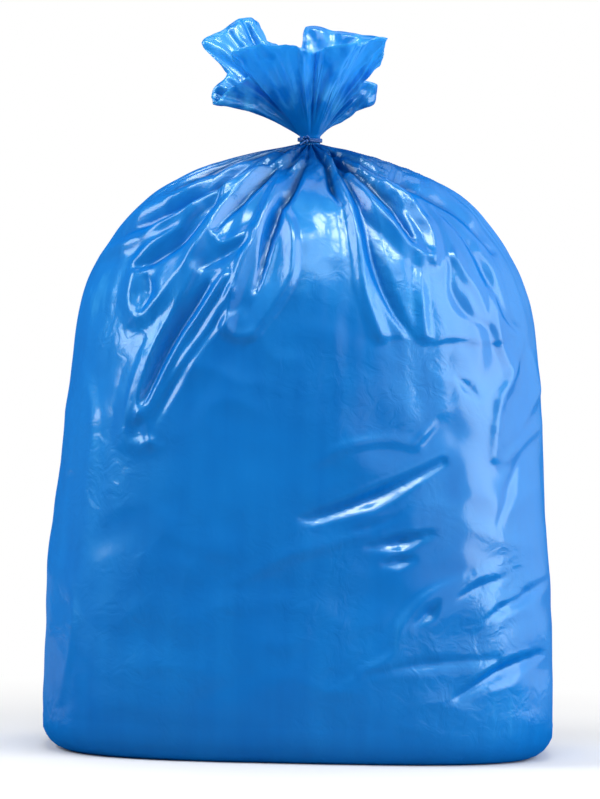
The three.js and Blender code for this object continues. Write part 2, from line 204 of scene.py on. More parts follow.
# Folds of the front: points of the fold's line, given as pixels across and down the
# photograph, then how far it stands out at its start, middle and end, and how wide it is to the
# left and the right of its run, in millimetres
folds = [
    ([(290, 150), (270, 152), (228, 165), (186, 180), (148, 199), (128, 214)], (-5, -8, -4), (8, 9)),
    ([(292, 153), (262, 161), (224, 176), (184, 195), (144, 212), (118, 228)], (5, 7, 4), (9, 9)),
    ([(266, 165), (243, 176), (207, 191), (178, 208), (144, 223), (113, 239), (100, 253)],
     (-5, -8, -4), (7, 8)),
    ([(289, 157), (250, 177), (212, 197), (178, 218), (140, 239), (102, 256)], (6, 8, 5), (8, 8)),
    ([(222, 191), (207, 214), (178, 244), (150, 262), (135, 268)], (-4, -8, -4), (8, 12)),
    ([(200, 209), (178, 228), (150, 247), (134, 262)], (2, 4, 2), (7, 7)),
    ([(134, 270), (131, 300), (138, 318)], (3, 4, 2), (7, 14)),
    ([(147, 278), (150, 292), (142, 310)], (-3, -6, -2), (12, 12)),
    ([(262, 170), (237, 190), (218, 216), (199, 246), (178, 275), (161, 299), (140, 317)],
     (4, 8, 4), (14, 20)),
    ([(275, 168), (250, 191), (228, 213), (215, 231)], (-5, -9, -4), (8, 9)),
    ([(195, 272), (176, 307), (158, 344), (150, 364), (142, 391), (139, 417)], (4, 7, 5), (7, 14)),
    ([(226, 276), (203, 309), (180, 342), (158, 385), (143, 416)], (4, 7, 5), (8, 7)),
    ([(208, 285), (184, 322), (164, 358), (146, 402)], (-4, -8, -3), (14, 14)),
    ([(231, 290), (203, 334), (174, 375), (152, 413), (148, 428), (151, 443)], (3, 4, 3), (7, 7)),
    ([(230, 318), (203, 352), (178, 393), (156, 430)], (3, 4, 1), (22, 8)),
    ([(152, 326), (137, 378), (127, 424), (130, 442), (152, 443)], (2, 4, 3), (8, 16)),
    ([(300, 160), (283, 178), (270, 200), (256, 232), (241, 266), (231, 299), (226, 328)],
     (4, 8, 4), (12, 9)),
    ([(309, 153), (294, 187), (279, 209), (268, 240), (261, 268), (255, 290)], (-6, -10, -4), (9, 9)),
    ([(303, 154), (290, 168), (279, 184)], (-3, -5, -2), (7, 7)),
    ([(282, 206), (291, 224), (294, 250), (292, 275), (280, 297), (266, 317), (252, 335)],
     (3, 7, 3), (8, 20)),
    ([(226, 328), (236, 337), (252, 335)], (2, 3, 2), (10, 7)),
    ([(252, 228), (223, 243), (214, 232)], (2, 4, 2), (8, 7)),
    ([(250, 240), (222, 256), (204, 266)], (-2, -5, -2), (12, 12)),
    ([(322, 148), (331, 166), (344, 193), (354, 222), (359, 254), (363, 287), (371, 313), (380, 336)],
     (4, 8, 4), (12, 10)),
    ([(326, 158), (333, 187), (343, 205)], (-5, -8, -3), (8, 8)),
    ([(333, 152), (341, 170), (353, 193), (360, 214), (372, 262), (390, 306), (408, 334)],
     (-5, -8, -4), (18, 8)),
    ([(349, 175), (367, 197), (388, 222), (410, 246), (431, 259)], (4, 8, 4), (9, 14)),
    ([(338, 157), (367, 181), (388, 199), (402, 222), (412, 240)], (-5, -10, -4), (10, 9)),
    ([(345, 157), (367, 170), (398, 191), (420, 215), (432, 236), (434, 258)], (4, 7, 4), (10, 9)),
    ([(330, 153), (382, 175), (422, 193), (453, 209), (475, 230), (494, 252)], (-4, -6, -3), (7, 8)),
    ([(335, 151), (386, 168), (422, 181), (459, 201), (475, 221)], (3, 5, 2), (9, 9)),
    ([(434, 207), (455, 226), (475, 254), (490, 283), (504, 313), (518, 330)], (-2, -4, -3), (7, 7)),
    ([(420, 262), (422, 303), (425, 335)], (2, 4, 3), (9, 9)),
    ([(453, 254), (463, 272), (476, 290), (492, 328)], (2, 3, 1), (8, 7)),
    ([(451, 262), (453, 291), (469, 315), (490, 330)], (-1, -3, -1), (9, 9)),
    ([(478, 250), (492, 275), (496, 313), (498, 338), (510, 377), (498, 401), (494, 458)],
     (2, 4, 2), (14, 8)),
    ([(380, 336), (408, 334), (430, 339), (460, 337), (482, 341), (498, 339)], (1.5, 2.5, 1.2), (26, 7)),
    ([(524, 340), (513, 370), (500, 402), (497, 430)], (1, 3, 1), (7, 7)),
    ([(531, 355), (536, 392), (520, 432)], (2, 3, 1), (7, 7)),
    ([(457, 378), (468, 388), (478, 398)], (-1, -3, -1), (9, 9)),
    ([(413, 446), (423, 435), (433, 424)], (1, 3, 1), (7, 7)),
    ([(300, 519), (317, 516), (371, 497), (411, 478), (444, 461)], (-2, -9.4, -4), (6, 15)),
    ([(330, 536), (372, 526), (412, 508)], (0, -3, 0), (8, 10)),
    ([(240, 582), (290, 556), (330, 545), (378, 528)], (1, 2.5, 1), (16, 9)),
    ([(366, 547), (400, 541), (436, 532)], (-2, -8, -2), (5, 13)),
    ([(382, 564), (399, 561), (416, 558)], (-2, -5.6, -2), (5, 9)),
    ([(414, 625), (428, 612), (438, 602)], (-2, -7, -2), (5, 11)),
    ([(318, 462), (345, 447), (388, 440), (420, 447)], (1, 2.5, 1), (9, 9)),
    ([(359, 673), (392, 655), (401, 626), (425, 598), (462, 579)], (2, 5, 2), (8, 60)),
    ([(364, 676), (425, 664), (498, 659)], (-1, -4, -2), (7, 9)),
    ([(456, 697), (500, 670), (542, 652)], (-3, -10, -3), (6, 17)),
    ([(456, 600), (480, 587), (506, 577)], (-1, -4, -1), (8, 8)),
    ([(484, 622), (502, 609), (521, 597)], (-1, -5, -1), (8, 8)),
    ([(507, 614), (528, 594), (546, 580)], (-1, -5, -2), (8, 8)),
    ([(545, 421), (528, 437), (508, 460)], (1, 3, 1), (8, 8)),
    ([(519, 459), (508, 492), (496, 526)], (-1, -4, -1), (9, 9)),
    ([(120, 500), (180, 540), (262, 560)], (0, 1, 0), (24, 12)),
    ([(70, 330), (66, 400), (72, 470)], (1, 3, 1), (7, 7)),
    ([(78, 350), (92, 420), (84, 500)], (0, 2.5, 1), (9, 9)),
    ([(62, 470), (54, 560), (52, 640)], (1, 3, 1), (7, 7)),
    ([(66, 560), (74, 620), (60, 700)], (0, 2.5, 1), (7, 8)),
]
fold_crowding = 0.15  # a fold's width is at most this share of its distance from the neck
fold_steepness = 0.18  # its height is at most this share of that distance
ridge_sharpness = 1.15  # 1 is a tent with straight flanks, and more is a sharper crest
valley_sharpness = 1.1
fold_steps = 8  # straight steps from one picked point to the next


def fold_relief(points):
    """How far the folds lift each point of the film off the form under it."""
    seen = in_picture(points)
    spread = np.linalg.norm(seen - in_picture(np.array((0, 0, neck_foot))), axis=-1)
    lift = np.zeros(spread.shape)
    for line, heights, widths in folds:
        path = pixel_span * spline(line, fold_steps) * (1, -1)
        margin = millimetre * max(widths)
        close = np.all((seen > path.min(0) - margin) & (seen < path.max(0) + margin), -1)
        close &= points[..., 1] < 0
        place = seen[close][:, None]
        course = np.diff(path, axis=0)
        along = np.clip(np.sum((place - path[:-1]) * course, -1) / np.sum(course**2, -1), 0, 1)
        gap = place - path[:-1] - along[..., None] * course
        distance = np.linalg.norm(gap, axis=-1)
        nearest = distance.argmin(-1)
        each = np.arange(len(nearest))
        reach, gap, along = distance[each, nearest], gap[each, nearest], along[each, nearest]
        run = course[nearest]
        left = run[:, 0] * gap[:, 1] > run[:, 1] * gap[:, 0]
        height = millimetre * np.interp((nearest + along) / len(course), (0, 0.5, 1), heights)
        valley = height < 0
        taper = np.where(valley, np.abs(height) / (millimetre * np.abs(heights).max()), 1)
        width = millimetre * taper * np.where(left, *widths)
        width = np.minimum(width, fold_crowding * spread[close]) + 1e-6
        most = fold_steepness * spread[close]
        flank = np.maximum(0, 1 - reach / width) ** np.where(valley, valley_sharpness, ridge_sharpness)
        lift[close] += np.clip(height, -most, most) * flank
    return lift


def grid_normals(points):
    """Outward normals of a grid of points whose columns close on themselves."""
    around = np.roll(points, -1, 1) - np.roll(points, 1, 1)
    up = np.gradient(points, axis=0)
    normal = np.cross(around, up)
    return normal / np.maximum(np.linalg.norm(normal, axis=-1, keepdims=True), 1e-12)


turn_rows = 7
side_rows = 97
shoulder_rows = 135
shoulder_rows_from = 0.55  # share of the neck's height above which the rows lie closer
turn_share = share_at(floor_edge)
shoulder_share = share_at(shoulder_rows_from * neck_foot)
row_shares = np.concatenate([
    np.linspace(0, turn_share, turn_rows)[:-1],
    np.linspace(turn_share, shoulder_share, side_rows)[:-1],
    np.linspace(shoulder_share, 1, shoulder_rows),
])
column_angles = neck_start + np.arange(body_columns) / body_columns * 2 * math.pi
share_grid = row_shares[:, None]

# Round the body the columns lie closer together on the front, where the folds are finest, and
# towards the neck they go over to even angles
front_closeness = 2.2
even_columns = (0.8, 0.97)  # shares of the way up the side between which they do so
round_samples = 4001
round_angles = neck_start + np.linspace(0, 2 * math.pi, round_samples)
round_form = filled_form(share_at(0.5 * neck_foot), round_angles)
round_steps = np.linalg.norm(np.diff(round_form, axis=0), axis=1)
round_steps *= np.where(round_form[1:, 1] < 0, front_closeness, 1)
round_length = np.concatenate([[0], np.cumsum(round_steps)])
column_places = np.arange(body_columns) / body_columns * round_length[-1]
spread_angles = np.interp(column_places, round_length, round_angles)
angle_grid = spread_angles + (column_angles - spread_angles) * smoothstep(share_grid, *even_columns)
filled = filled_form(share_grid, angle_grid)
filled_normals = grid_normals(filled)
plan_radius = np.hypot(filled[..., 0], filled[..., 1])
rng = np.random.default_rng(5)


def cloud(film, across, up):
    """Smooth noise over a grid of film, its features so many columns wide and rows high."""
    white = rng.standard_normal(film.shape[:2])
    rough = np.fft.fftfreq(film.shape[0])[:, None] * up
    fine = np.fft.rfftfreq(film.shape[1])[None] * across
    field = np.fft.irfft2(np.fft.rfft2(white) * np.exp(-2 * (rough**2 + fine**2)), s=white.shape)
    return field / field.std()


def draw_apart(a, b, rest, least=False, stiffness=0.5):
    """Moves two sets of points until each pair is as far apart as the film between them is long."""
    gap = b - a
    stretch = 1 - rest / np.maximum(np.linalg.norm(gap, axis=-1), 1e-9)
    if least:
        stretch = np.minimum(stretch, 0)
    step = stiffness * stretch[..., None] * gap
    a += step
    b -= step


def between(a, b):
    """How far apart each pair of points is."""
    return np.linalg.norm(b - a, axis=-1)


bend_length = 1.9  # least distance between second neighbours, in gaps between neighbours; 2 is flat
bend_stiffness = 0.15
sideways_hold = 0.97  # how much of a point's drift along the form is kept each round


def settle(target, normals, slack, give, rounds):
    """Lets film that is a little longer than the form under it buckle, close to that form."""
    film = target.copy()
    beside = np.roll(target, -1, 1)
    across = between(target, beside) * (1 + slack)
    spare = (across**2 - between(target, beside) ** 2)[:-1]
    up = between(target[:-1], target[1:])
    rising = np.sqrt(between(target[:-1], beside[1:]) ** 2 + spare)
    falling = np.sqrt(between(beside[:-1], target[1:]) ** 2 + spare)
    for _ in range(rounds):
        for start in (0, 1):
            draw_apart(film[:, start:-1:2], film[:, start + 1::2], across[:, start:-1:2])
            draw_apart(film[start:-1:2], film[start + 1::2], up[start::2])
        draw_apart(film[:, -1:], film[:, :1], across[:, -1:])
        for start in (0, 1):
            lower, upper = film[start:-1:2], film[start + 1::2]
            draw_apart(lower[:, :-1], upper[:, 1:], rising[start::2, :-1])
            draw_apart(lower[:, -1:], upper[:, :1], rising[start::2, -1:])
            draw_apart(lower[:, 1:], upper[:, :-1], falling[start::2, :-1])
            draw_apart(lower[:, :1], upper[:, -1:], falling[start::2, -1:])
        for start in range(4):
            draw_apart(film[:, start:-2:4], film[:, start + 2::4], bend_length * across[:, start:-2:4],
                       True, bend_stiffness)
            draw_apart(film[start:-2:4], film[start + 2::4], bend_length * up[start:-1:4],
                       True, bend_stiffness)
        draw_apart(film[:, -2:], film[:, :2], bend_length * across[:, -2:], True, bend_stiffness)
        drift = film - target
        along = np.sum(drift * normals, -1, keepdims=True)
        sideways = drift - along * normals
        film[:] = target + np.clip(along, -give, give) * normals + sideways_hold * sideways
        film[0] = target[0]
        film[-1] = target[-1]
        film[..., 2] = np.maximum(film[..., 2], 0)
    return film


# The form the film lies against: pleats all round, on the front the folds of the photograph, and
# between them low swells and creases
side_swell = 0.0012  # heights in metres, each times a smooth noise of about 1
broad_swell = 0.0004
crease_swell = 0.001
shoulder_swell = 0.0005
back_share = 0.4  # how much of the swells the back has
swell_steepness = 0.1  # their height is at most this share of the distance from the bag's axis
own_share = 0.7  # how much of its own height a point keeps as its neighbours smooth it
beside_share = 0.15
shoulder_range = (0.45, 0.8)  # shares of the neck's height between which the shoulder sets in
facing_depth = 0.05  # how far in front of the bag's middle the film counts as its front
neck_range = (0.8, 0.93)  # shares of the way up the side between which the neck sets in
front_pleating = 0.4  # how much of the pleats the front has by the neck
floor_range = (0.004, 0.05)  # heights between which the film comes loose from the floor
crease_range = (-0.6, 0.8)  # values of the noise between which the film is creased
crease_crest = 0.8
shoulder = smoothstep(filled[..., 2] / neck_foot, *shoulder_range)
facing = smoothstep(-filled[..., 1], 0, facing_depth)
near_neck = smoothstep(share_grid, *neck_range)
pleating = 1 - facing * (1 - front_pleating * near_neck)
relief = facing * fold_relief(filled) - pleating * pleat_relief(share_grid, angle_grid, plan_radius)
loosening = smoothstep(filled[..., 2], *floor_range)
swell = side_swell * (1 - shoulder) * cloud(filled, 50, 40) + broad_swell * cloud(filled, 18, 10)
creased = smoothstep(cloud(filled, 80, 40), *crease_range)
swell += crease_swell * creased * (crease_crest - np.abs(cloud(filled, 26, 15)))
swell = loosening * (back_share + (1 - back_share) * facing) * (
    swell + shoulder_swell * shoulder * cloud(filled, 8, 30))
relief += np.clip(swell, -swell_steepness * plan_radius, swell_steepness * plan_radius)
relief = own_share * relief + beside_share * (np.roll(relief, 1, 1) + np.roll(relief, -1, 1))
relief[1:-1] = own_share * relief[1:-1] + beside_share * (relief[:-2] + relief[2:])
drawn = filled + relief[..., None] * filled_normals

# How much shade is painted, by the neck and in the valleys: the material is painted darker there and has less
# satin and gloss
neck_reach = (0.03, 0.16)  # the painted shade by the neck fades out between these distances from it
full_valley = 0.007  # a valley this deep gets the full painted shade
valley_steepness = 0.15  # and by the neck one that is this share of its distance deep
valley_range = (0.1, 1)  # shares of that depth between which a dip becomes a valley
far_valley_share = 0.3  # how much a valley far from the neck counts
bare_neck_share = 0.6  # how much the neck counts without a valley
neck_distance = np.linalg.norm(filled - (0, 0, neck_foot), axis=-1)
by_neck = 1 - smoothstep(neck_distance, *neck_reach)
valley_depth = np.minimum(full_valley, valley_steepness * neck_distance + 1e-6)
shaded_valleys = shoulder * smoothstep(-relief / valley_depth, *valley_range)
gathered = shaded_valleys * (far_valley_share + (1 - far_valley_share) * by_neck) + bare_neck_share * by_neck

# The film settles: on the shoulder it is a little longer than the form under it
side_give = 0.0006  # how far a point may leave that form
shoulder_give = 0.0016
most_slack = 0.01  # spare length as a share
settling_rounds = 40
give_range = (0.72, 0.84)  # shares of the way up the side between which the give runs out
give = (side_give + shoulder_give * shoulder) * (1 - smoothstep(share_grid, *give_range))
slack = most_slack * shoulder * np.exp(-((cloud(filled, 60, 25) - 1) ** 2))
body_film = settle(drawn, filled_normals, slack, give[..., None], settling_rounds)


def neck_ring(angles, height):
    """A ring of points round the bunched neck."""
    across, deep = neck_radius * np.cos(angles), neck_radius * np.sin(angles)
    return np.column_stack([across, deep, np.full(len(angles), height)])


def closed_skin(name, rings, bottom, top):
    """A closed mesh through rings of points, ending in a point at each end."""
    levels, columns = rings.shape[:2]
    points = np.vstack([rings.reshape(-1, 3), [bottom, top]])
    index = np.arange(levels * columns).reshape(levels, columns)
    beside = np.roll(index, -1, 1)
    quads = np.stack([index[:-1], beside[:-1], beside[1:], index[1:]], -1).reshape(-1, 4)
    foot, tip = len(points) - 2, len(points) - 1
    faces = quads.tolist()
    faces += [[foot, b, a] for a, b in zip(index[0].tolist(), beside[0].tolist())]
    faces += [[tip, a, b] for a, b in zip(index[-1].tolist(), beside[-1].tolist())]
    mesh = bpy.data.meshes.new(name)
    mesh.from_pydata(points.tolist(), [], faces)
    mesh.shade_smooth()
    obj = bpy.data.objects.new(name, mesh)
    bpy.context.scene.collection.objects.link(obj)
    return obj


floor_ring_shares = (0.35, 0.7)
floor_rings = [body_film[0] * (share, share, 0) for share in floor_ring_shares]
neck_rings = [neck_ring(column_angles, height) for height in (neck_foot, inside_tie)]
body_rings = np.concatenate([floor_rings, body_film[:-1], neck_rings])
body_skin = closed_skin("body_film", body_rings, (0, 0, 0), (0, 0, inside_tie))
# Painted shade for each point of the body skin, kept as a mesh attribute for the material
painted_shade_per_point = np.zeros(len(body_skin.data.vertices))
first_point = len(floor_rings) * body_columns
painted_shade_per_point[first_point:][:gathered[:-1].size] = gathered[:-1].ravel()
body_skin.data.attributes.new("gathered", "FLOAT", "POINT").data.foreach_set("value", painted_shade_per_point)


class Shade:
    """A shader socket that takes part in Python arithmetic."""

    def __init__(self, tree, socket):
        self.tree = tree
        self.socket = socket

    def _math(self, operation, *inputs):
        return make_node(self.tree, "ShaderNodeMath", {"operation": operation}, dict(enumerate(inputs)))

    def __add__(self, other):
        return self._math("ADD", self, other)

    def __radd__(self, other):
        return self._math("ADD", other, self)

    def __sub__(self, other):
        return self._math("SUBTRACT", self, other)

    def __rsub__(self, other):
        return self._math("SUBTRACT", other, self)

    def __mul__(self, other):
        return self._math("MULTIPLY", self, other)

    def __rmul__(self, other):
        return self._math("MULTIPLY", other, self)


def make_node(tree, kind, settings=None, inputs=None, output=0):
    """Adds a node: its settings first, then the values or links of its sockets."""
    node = tree.nodes.new(kind)
    for name, value in (settings or {}).items():
        if name == "stops":
            while len(node.color_ramp.elements) < len(value):
                node.color_ramp.elements.new(0.5)
            for element, (position, color) in zip(node.color_ramp.elements, value):
                element.position = position
                element.color = color
        else:
            setattr(node, name, value)
    for name, value in (inputs or {}).items():
        if isinstance(value, Shade):
            tree.links.new(value.socket, node.inputs[name])
        else:
            node.inputs[name].default_value = value
    return Shade(tree, node.outputs[output]) if node.outputs else None


def make_material(name):
    material = bpy.data.materials.new(name)
    material.use_nodes = True
    tree = material.node_tree
    tree.nodes.clear()
    return material, tree


# Film colours, dark to pale; the darkest blue is the painted shade in the valleys and by the neck
film_painted_shade_blue = (0.0, 0.05, 0.25, 1)
film_blue = (0.0, 0.14, 0.55, 1)
film_bright_blue = (0.0, 0.183, 0.645, 1)
film_pale_blue = (0.06, 0.46, 0.9, 1)
light_through_blue = (0.03, 0.55, 0.95, 1)
satin_blue = (0.12, 0.68, 1.0, 1)
draw_line_scale = (70, 70, 3)  # fine across the film and long up it, as blown film is drawn
cloud_scale = 7.0
crinkle_scale = 55.0
patch_scale = 9.0
crinkle_height = 0.0025
satin_share = 0.035
patch_satin_share = 0.085
gloss_share = 0.036
# Where shade is painted, the film also loses this much gloss and satin
painted_shade_gloss_loss = 0.03
painted_shade_satin_loss = 0.8
satin_roughness = 0.32
gloss_roughness = 0.08
streak_tone = 0.3  # how much each of these moves the tone along the film's blues
cloud_tone = 0.7
painted_shade_tone = 0.8
mouth_streak_tone = 1.1
mouth_tone = 0.2
light_share = 0.6  # how much of the light comes through the film above the tie
single_layer_share = 0.6  # share of the mouth's rise at which the film is a single layer


def film_material():
    """Matt blue film under a satin layer and a thin glossy one, with painted shade in the valleys; above the
    tie light comes through.
    """
    material, tree = make_material("bag_film")
    place = make_node(tree, "ShaderNodeTexCoord", output="Object")
    draw_lines = make_node(tree, "ShaderNodeMapping", {}, {"Vector": place, "Scale": draw_line_scale})
    streaks = make_node(tree, "ShaderNodeTexNoise", {}, {"Vector": draw_lines, "Scale": 1.0, "Detail": 3.0})
    clouds = make_node(tree, "ShaderNodeTexNoise", {}, {"Vector": place, "Scale": cloud_scale, "Detail": 4.0})
    gathered = make_node(tree, "ShaderNodeAttribute", {"attribute_name": "gathered"}, output="Fac")
    height = make_node(tree, "ShaderNodeSeparateXYZ", {}, {"Vector": place}, output="Z")
    above_tie = make_node(tree, "ShaderNodeMapRange", {"interpolation_type": "SMOOTHSTEP"}, {
        "Value": height, "From Min": mouth_foot, "From Max": mouth_foot + single_layer_share * mouth_rise})
    # Painted shade: the tone falls towards the darkest blue where the valleys and the neck are shaded
    tone = (streak_tone * streaks + cloud_tone * clouds - painted_shade_tone * gathered
            + above_tie * (mouth_streak_tone * streaks - mouth_tone))
    color = make_node(tree, "ShaderNodeValToRGB", {"stops": [
        (0.0, film_painted_shade_blue), (0.35, film_blue), (0.65, film_bright_blue), (0.9, film_pale_blue)]},
        {"Fac": tone})
    crinkle = make_node(tree, "ShaderNodeTexNoise", {}, {
        "Vector": place, "Scale": crinkle_scale, "Detail": 3.0, "Distortion": 1.2})
    patches = make_node(tree, "ShaderNodeTexNoise", {}, {
        "Vector": place, "Scale": patch_scale, "Detail": 2.0})
    crinkled = crinkle * make_node(tree, "ShaderNodeMapRange", {"interpolation_type": "SMOOTHSTEP"}, {
        "Value": patches, "From Min": 0.4, "From Max": 0.65, "To Min": 0.15, "To Max": 1.0})
    bump = make_node(tree, "ShaderNodeBump", {}, {
        "Height": crinkled, "Strength": 0.35, "Distance": crinkle_height})
    film = make_node(tree, "ShaderNodeBsdfPrincipled", {}, {
        "Base Color": color, "Roughness": 0.5, "Specular IOR Level": 0.0, "Normal": bump})
    backlit = make_node(tree, "ShaderNodeBsdfTranslucent", {}, {
        "Color": light_through_blue, "Normal": bump})
    lit = make_node(tree, "ShaderNodeMixShader", {}, {0: light_share * above_tie, 1: film, 2: backlit})
    satin = make_node(tree, "ShaderNodeBsdfAnisotropic", {}, {
        "Color": satin_blue, "Roughness": satin_roughness + 0.2 * streaks, "Normal": bump})
    gloss = make_node(tree, "ShaderNodeBsdfAnisotropic", {}, {
        "Color": (1, 1, 1, 1), "Roughness": gloss_roughness + 0.14 * clouds, "Normal": bump})
    # The satin and the gloss weaken where shade is painted
    sheen = make_node(tree, "ShaderNodeMixShader", {}, {
        0: (satin_share + patch_satin_share * patches) * (1 - painted_shade_satin_loss * gathered),
        1: lit, 2: satin})
    surface = make_node(tree, "ShaderNodeMixShader", {}, {
        0: gloss_share - painted_shade_gloss_loss * gathered, 1: sheen, 2: gloss})
    make_node(tree, "ShaderNodeOutputMaterial", {}, {"Surface": surface})
    return material


film_look = film_material()
body_skin.data.materials.append(film_look)
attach(body_skin, "root")
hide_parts("bag")


# Mouth film: the cut end of the same film, a single layer that flares out above the tie in stiff
# folds. It is one piece with the body in the real bag, and here its foot stands in the same bunch.
mouth_columns = 480
mouth_rows = 27
mouth_reach = 0.113  # how far the cut edge reaches from the bag's axis
film_wall = 0.00035  # at the cut edge, and less towards the tie; real film is thinner still
edge_stiffness = 0.35  # 0 is a smooth curve through the corners, and 1 is straight runs between them
mouth_bend = 0.35  # where the film bends outwards, as a share of its way to the edge
mouth_lift = 0.08  # how far it stands up before it does, as a share of the rise

# Cut edge, one corner for each pleat: sideways and depth as shares of the reach, height above the
# tie as a share of the rise
mouth_corners = [
    (-1, 0.04, 0.77), (-0.76, -0.05, 0.52), (-0.88, -0.12, 0.38), (-0.88, -0.19, 0.25), (-0.71, -0.21, 0.39),
    (-0.55, -0.23, 0.5), (-0.69, -0.34, 0.6), (-0.72, -0.46, 0.67), (-0.48, -0.62, 0.74), (-0.24, -0.7, 0.72),
    (-0.08, -0.66, 0.7), (0.02, -0.5, 0.68), (0.07, -0.53, 0.7), (0.15, -0.58, 0.72), (0.4, -0.56, 0.77),
    (0.43, -0.42, 0.75), (0.47, -0.3, 0.78), (0.67, -0.19, 0.84), (0.62, -0.07, 0.62), (0.41, 0.02, 0.51),
    (0.61, 0.12, 0.45), (0.55, 0.18, 0.27), (0.32, 0.14, 0.55), (0.66, 0.32, 0.84), (0.32, 0.37, 0.9),
    (-0.06, 0.37, 0.95), (-0.11, 0.32, 0.69), (-0.24, 0.35, 0.77), (-0.39, 0.35, 0.82), (-0.5, 0.3, 0.99),
    (-0.65, 0.25, 1.0), (-0.82, 0.12, 0.89),
]


def mouth_edge():
    """The cut edge: between a straight run from corner to corner and a smooth curve through them."""
    corners = np.array(mouth_corners) * (mouth_reach, mouth_reach, mouth_rise)
    steps = mouth_columns // len(corners)
    along = (np.arange(steps) / steps)[:, None]
    straight = corners[:, None] * (1 - along) + np.roll(corners, -1, 0)[:, None] * along
    smooth = spline(np.vstack([corners[-2:], corners, corners[:3]]), steps)[2 * steps:-2 * steps - 1]
    return edge_stiffness * straight.reshape(-1, 3) + (1 - edge_stiffness) * smooth


def mouth_film(steps):
    """Rows of points from the tie to the cut edge: one row for each share of the way."""
    edge = mouth_edge()
    plan = edge[:, :2] / np.linalg.norm(edge[:, :2], axis=1, keepdims=True)
    start = np.column_stack([neck_radius * plan, np.full(mouth_columns, mouth_foot)])
    end = edge + (0, 0, mouth_foot)
    bend = start + mouth_bend * (end - start) + (0, 0, mouth_lift * mouth_rise)
    t = np.array(steps)[:, None, None]
    return (1 - t) ** 2 * start + 2 * t * (1 - t) * bend + t**2 * end


soft_crumple = 0.0014
sharp_crumple = 0.0016
most_crumple = 0.0026
soft_range = (0.1, 0.6)  # shares of the way to the cut edge between which each crumple sets in
sharp_range = (0.3, 0.9)
first_inside_row = 8  # the open inside starts at this row of the outside
bunch_share = 0.12  # how far up the rise the inside ends in a bunch
outside_steps = np.linspace(0, 1, mouth_rows)
mouth_outside = mouth_film(outside_steps)
reached = outside_steps[:, None]
crumple = soft_crumple * cloud(mouth_outside, 6, 12) * smoothstep(reached, *soft_range)
crests = crease_crest - np.abs(cloud(mouth_outside, 9, 5))
crumple = crumple + sharp_crumple * crests * smoothstep(reached, *sharp_range)
crumple = np.clip(crumple, -most_crumple, most_crumple)
mouth_outside += crumple[..., None] * grid_normals(mouth_outside)
inward = -grid_normals(mouth_outside)
mouth_inside = mouth_outside + film_wall * outside_steps[:, None, None] * inward
mouth_inside = mouth_inside[first_inside_row:][::-1]

mouth_angles = np.arctan2(mouth_outside[0, :, 1], mouth_outside[0, :, 0])
mouth_rings = np.concatenate([[neck_ring(mouth_angles, inside_tie)], mouth_outside, mouth_inside])
bunch = (0, 0, mouth_foot + bunch_share * mouth_rise)
mouth_skin = closed_skin("mouth_film", mouth_rings, (0, 0, inside_tie), bunch)
mouth_skin.data.materials.append(film_look)
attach(mouth_skin, "root")
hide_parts("bag")


# Neck tie: a strip of the same blue polythene, twisted into a thin strand, wound three times
# round the gathered neck and knotted at the front left, where its two short ends stick out.
strand_radius = 0.001
strand_turns = 3
strand_pitch = 0.011  # length of one full twist
strand_twist = 2 * math.pi / strand_pitch
turn_steps = 48
knot_steps = 60
tail_steps = 12
strand_waist = 0.62  # how thin the pinched profile is between its points, as a share of its radius
knot_angle = math.radians(-108)
knot_size = 0.0013
knot_standoff = 0.0012
knot_opening = 0.3  # how far from its closing point the knot's line starts and ends, in radians
tail_length = 0.008
first_tail_drop = 0.005
last_tail_rise = 0.002


def strand_path():
    """The middle line of the strand: first end, knot, turns round the neck, second end."""
    loop_radius = tie_high.x - strand_radius
    low, high = tie_low.z + strand_radius, tie_high.z - strand_radius
    turn = np.linspace(0, 1, turn_steps * strand_turns)
    angle = knot_angle + turn * strand_turns * 2 * math.pi
    winding = np.column_stack([
        loop_radius * np.cos(angle), loop_radius * np.sin(angle), low + (high - low) * turn])
    out = np.array([math.cos(knot_angle), math.sin(knot_angle), 0])
    beside = np.array([-out[1], out[0], 0])
    centre = (loop_radius + knot_standoff) * out + (0, 0, 0.5 * (low + high))
    t = np.linspace(knot_opening, 2 * math.pi - knot_opening, knot_steps)[:, None]
    knot = (centre + knot_size * (np.sin(t) + 2 * np.sin(2 * t)) * beside
            + knot_size * (np.cos(t) - 2 * np.cos(2 * t)) * (0, 0, 1) - 0.8 * knot_size * np.sin(3 * t) * out)
    tail = np.linspace(0, 1, tail_steps)[:, None]
    first = (knot[0] + tail[::-1] * tail_length * (0.5 * out - 0.8 * beside)
             + tail[::-1] ** 2 * (0, 0, -first_tail_drop))
    last = (winding[-1] + tail * tail_length * (0.8 * out + 0.4 * beside)
            + tail**2 * (0, 0, last_tail_rise))
    return spline(np.vstack([first, knot[1::3], winding[::2], last[1:]]), 3)


